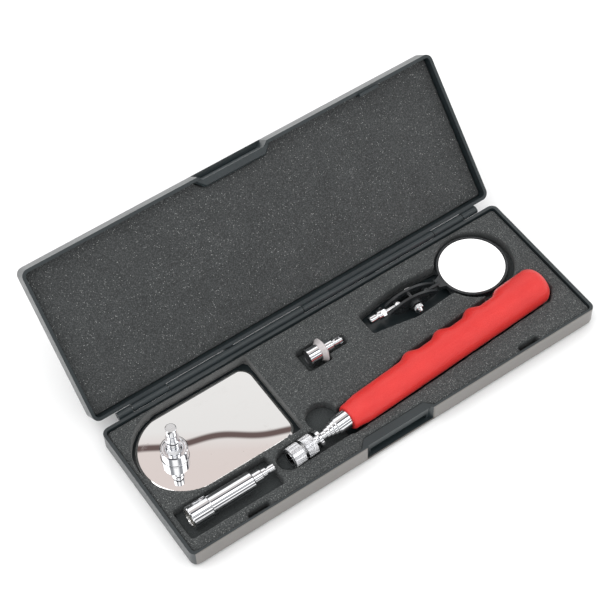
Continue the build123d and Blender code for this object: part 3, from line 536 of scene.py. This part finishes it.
def make_world():
    """A white studio, laid out along the camera's bearing.

    Polished things reflect its screens, a bright box overhead and darker ends; an even dome
    lights everything else. One thin wavy gap between two screens shows as the dark line
    across the plate mirror.
    """
    world = bpy.data.worlds.new("studio")
    bpy.context.scene.world = world
    world.use_nodes = True
    world.node_tree.nodes.clear()
    w = Nodes(world.node_tree)
    direction = w.add("ShaderNodeTexCoord").outputs["Generated"]
    across, away, height = w.add("ShaderNodeSeparateXYZ", {0: direction}).outputs
    ahead = w.maths(
        "ADD",
        w.maths("MULTIPLY", across, math.sin(CAMERA_TURN)),
        w.maths("MULTIPLY", away, math.cos(CAMERA_TURN)),
    )
    arc = w.maths("DIVIDE", w.maths("ARCTAN2", height, ahead), math.pi)
    bearing = w.maths("ARCTAN2", across, away)
    wave = w.maths("SINE", w.maths("MULTIPLY_ADD", bearing, GAP_WAVES, GAP_WAVE_START))
    middle = w.maths("MULTIPLY_ADD", wave, math.radians(GAP_WAVE_HEIGHT), math.radians(GAP_HEIGHT))
    offset = w.maths("ABSOLUTE", w.maths("SUBTRACT", w.maths("ARCSINE", height), middle))
    fade = {
        "Value": offset,
        "From Min": math.radians(GAP_CORE),
        "From Max": math.radians(GAP_EDGE),
        "To Min": 1,
        "To Max": 0,
    }
    in_gap = w.add("ShaderNodeMapRange", fade, interpolation_type="SMOOTHSTEP").outputs["Result"]
    gap = w.maths("MULTIPLY", in_gap, w.maths("GREATER_THAN", ahead, GAP_LEAST_AHEAD))
    shade = w.mix(gap, w.ramp(arc, *SCREEN_STOPS), GAP_SHADE)
    screens = w.add("ShaderNodeBackground", {"Color": shade, "Strength": SCREEN_STRENGTH})
    dome = w.add("ShaderNodeBackground", {"Color": DOME_COLOUR, "Strength": DOME_STRENGTH})
    reflected = w.add("ShaderNodeLightPath").outputs["Is Glossy Ray"]
    both = w.add("ShaderNodeMixShader", {0: reflected, 1: dome.outputs[0], 2: screens.outputs[0]})
    w.add("ShaderNodeOutputWorld", {0: both.outputs[0]})


def make_key_light():
    """One soft square lamp, high over the hinge side."""
    data = bpy.data.lights.new("key", "AREA")
    data.shape = "SQUARE"
    data.size = KEY_SIZE
    data.energy = KEY_POWER
    light = add_object("key", data)
    light.location = KEY_PLACE
    light.rotation_mode = "QUATERNION"
    light.rotation_quaternion = (KEY_PLACE - KEY_TARGET).to_track_quat("Z", "Y")


# ================================================================ foam
def shade_smooth(mesh):
    mesh.polygons.foreach_set("use_smooth", [True] * len(mesh.polygons))


def roughened(vertex):
    """A vertex's place on the uneven face, in metres."""
    spot = vertex.co / MM
    rough = sum(noise.noise(spot * waves) * height for waves, height in (FOAM_PORES, FOAM_SWELLS))
    return vertex.co + vertex.normal * (rough - FOAM_DRAWN_IN) * MM


def foam_piece(node, voxel, finish, body):
    """A foam layer with soft cut edges and an uneven face, in place of its CAD node.

    The voxel size is in millimetres.
    """
    mesh = frame["nodes"][node].data.copy()
    piece = add_object(f"{node}_sheet", mesh)
    remesh = piece.modifiers.new("remesh", "REMESH")
    remesh.mode = "VOXEL"
    remesh.voxel_size = voxel * MM
    smooth = piece.modifiers.new("smooth", "SMOOTH")
    smooth.factor = 0.5
    smooth.iterations = 2
    evaluated = piece.evaluated_get(bpy.context.evaluated_depsgraph_get())
    shaped = bpy.data.meshes.new_from_object(evaluated)
    piece.modifiers.clear()
    piece.data = shaped
    bpy.data.meshes.remove(mesh)
    flat = [number for vertex in shaped.vertices for number in roughened(vertex)]
    shaped.vertices.foreach_set("co", flat)
    shade_smooth(shaped)
    shaped.update()
    paint(piece, finish)
    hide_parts(node)
    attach(piece, body)


# ================================================================ turned pieces
def turned_piece(name, rows, count, centre, along, finish):
    """A closed turned piece about a level axis.

    Each row is (station, function that gives the radius at an angle), in millimetres. The
    last row joins the first.
    """
    side = along.cross(Vector((0, 0, 1))).normalized()
    top = side.cross(along).normalized()
    grid = bmesh.new()
    rings = []
    for station, radius in rows:
        ring = []
        for step in range(count):
            angle = 2 * math.pi * step / count
            out = side * math.cos(angle) + top * math.sin(angle)
            place = centre + along * (station * MM) + out * (radius(angle) * MM)
            ring.append(grid.verts.new(place))
        rings.append(ring)
    for first, second in zip(rings, rings[1:] + rings[:1]):
        for step in range(count):
            after = (step + 1) % count
            grid.faces.new((first[step], first[after], second[after], second[step]))
    bmesh.ops.recalc_face_normals(grid, faces=grid.faces)
    mesh = bpy.data.meshes.new(name)
    grid.to_mesh(mesh)
    grid.free()
    piece = add_object(name, mesh)
    paint(piece, finish)
    return piece


def round_at(radius):
    """A row's radius function that is the same at every angle."""
    return lambda angle: radius


# ================================================================ knurls
def triangle_wave(value):
    """A saw of straight sides between 0 and 1, once a turn."""
    return abs((value % 1.0) * 2 - 1)


def knurled_ring(name, body, slot, centre, along, start, end, inner, outer, depth, teeth, bevel):
    """A ring with a diamond knurl rolled into its outside and plain bevelled ends."""
    pitch = 2 * math.pi * outer / teeth
    steps = round((end - start - 2 * bevel) / pitch * TOOTH_STEPS)

    def knurl(station):
        turns = (station - start) / pitch

        def radius(angle):
            around = angle * teeth / (2 * math.pi)
            rise = min(triangle_wave(around + turns), triangle_wave(around - turns))
            return outer - depth * (1 - min(1.0, rise * TOOTH_FLANK))

        return radius

    rows = [(start, round_at(inner)), (start, round_at(outer - depth - bevel))]
    for step in range(steps + 1):
        station = start + bevel + (end - start - 2 * bevel) * step / steps
        rows.append((station, knurl(station)))
    rows += [(end, round_at(outer - depth - bevel)), (end, round_at(inner))]
    ring = turned_piece(name, rows, teeth * TOOTH_STEPS, centre, along, FINISHES[slot])
    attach(ring, body)


def make_knurls():
    """The knurled rings of the chuck's sleeve, the chuck's body and the clamp's thumb screw."""
    knurled_ring(
        "sleeve_knurl", "chuck_sleeve", "chrome", HANDLE_FRONT, HANDLE_ALONG,
        start=-37.3, end=-30.6, inner=5.0, outer=5.75, depth=0.25, teeth=36, bevel=0.08,
    )
    knurled_ring(
        "chuck_rear_knurl", "mast_4", "chrome", HANDLE_FRONT, HANDLE_ALONG,
        start=-28.9, end=-22.7, inner=5.0, outer=5.65, depth=0.25, teeth=36, bevel=0.12,
    )
    knurled_ring(
        "screw_knurl", "thumb_screw", "chrome", CLAMP_CENTRE, CLAMP_ACROSS,
        start=6.55, end=8.75, inner=2.2, outer=2.68, depth=0.16, teeth=20, bevel=0.08,
    )


# ================================================================ grip
def eased(station, marks, power=2.0):
    """The height at a station along marks that are joined by level-ended curves."""
    for (start, first), (end, second) in zip(marks, marks[1:]):
        if station <= end:
            share = (station - start) / (end - start)
            rise = share ** power / (share ** power + (1 - share) ** power)
            return first + (second - first) * rise
    return marks[-1][1]


def finger_side(station):
    """The grip's half-width on the finger side: a shoulder, three swells and the plain rear."""
    marks = [(0.0, GRIP_FRONT_RADIUS), (GRIP_SHOULDER, GRIP_SHOULDER_RADIUS)]
    for number in range(3):
        crest = FIRST_CREST + SWELL_PITCH * number
        before, after = SWELL_LOWS[number:number + 2]
        marks += [(crest - SWELL_RUN, before), (crest, SWELL_HIGH), (crest + SWELL_RUN, after)]
    last_crest = FIRST_CREST + SWELL_PITCH * 3
    marks += [(last_crest - SWELL_RUN, SWELL_LOWS[3]), (last_crest, GRIP_REAR_RADIUS)]
    return eased(station, marks, 1.6)


def palm_side(station):
    """The grip's half-width on the palm side: a shoulder, then a straight taper to the tail."""
    if station <= GRIP_SHOULDER:
        return eased(station, [(0.0, GRIP_FRONT_RADIUS), (GRIP_SHOULDER, GRIP_SHOULDER_RADIUS)])
    share = min(1.0, (station - GRIP_SHOULDER) / (GRIP_LENGTH - TAIL_ROUNDING - GRIP_SHOULDER))
    return GRIP_SHOULDER_RADIUS + (PALM_REAR_RADIUS - GRIP_SHOULDER_RADIUS) * share


def grip_section(station, drawn_in):
    """The radius function of one oval section, drawn in by this much and by the lip's rounding."""
    palm = palm_side(station)
    finger = finger_side(station)
    lost = drawn_in + LIP_ROUNDING * max(0.0, 1 - station / LIP_RUN) ** 2

    def radius(angle):
        wide = finger if math.cos(angle) < 0 else palm
        x = math.cos(angle) / (wide - lost)
        y = math.sin(angle) / (palm * GRIP_FLATNESS - lost)
        return 1 / math.hypot(x, y)

    return radius


def make_grip():
    """The moulded grip: oval, with swells on its finger side, a domed tail and a rolled mouth."""
    tail = GRIP_LENGTH - TAIL_ROUNDING
    rows = [(BORE_END, round_at(BORE_RADIUS)), (BORE_MOUTH, round_at(BORE_RADIUS))]
    for number in range(int(tail / GRIP_STEP) + 1):
        station = GRIP_STEP * number
        rows.append((station, grip_section(station, 0.0)))
    for turn in range(0, 91, TAIL_TURN):
        lean = math.radians(turn)
        drawn_in = TAIL_ROUNDING * (1 - math.cos(lean))
        rows.append((tail + TAIL_ROUNDING * math.sin(lean), grip_section(tail, drawn_in)))
    rows += [(GRIP_LENGTH, round_at(TAIL_TIP_RADIUS)), (BORE_END, round_at(TAIL_TIP_RADIUS))]
    finish = FINISHES["grip_red"]
    grip = turned_piece("grip_moulding", rows, GRIP_POINTS, HANDLE_FRONT, HANDLE_ALONG, finish)
    shade_smooth(grip.data)
    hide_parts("grip")
    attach(grip, "handle")


# ================================================================ build
make_camera()
make_floor()
make_world()
make_key_light()
paint_frame()
foam_piece("foam_tray", 0.8, FINISHES["foam"], "case")
foam_piece("foam_bed", 1.2, FINISHES["foam"], "case")
foam_piece("lid_foam", 0.8, LID_FOAM_FINISH, "lid")
make_grip()
make_knurls()
bpy.context.scene.view_settings.view_transform = "Standard"
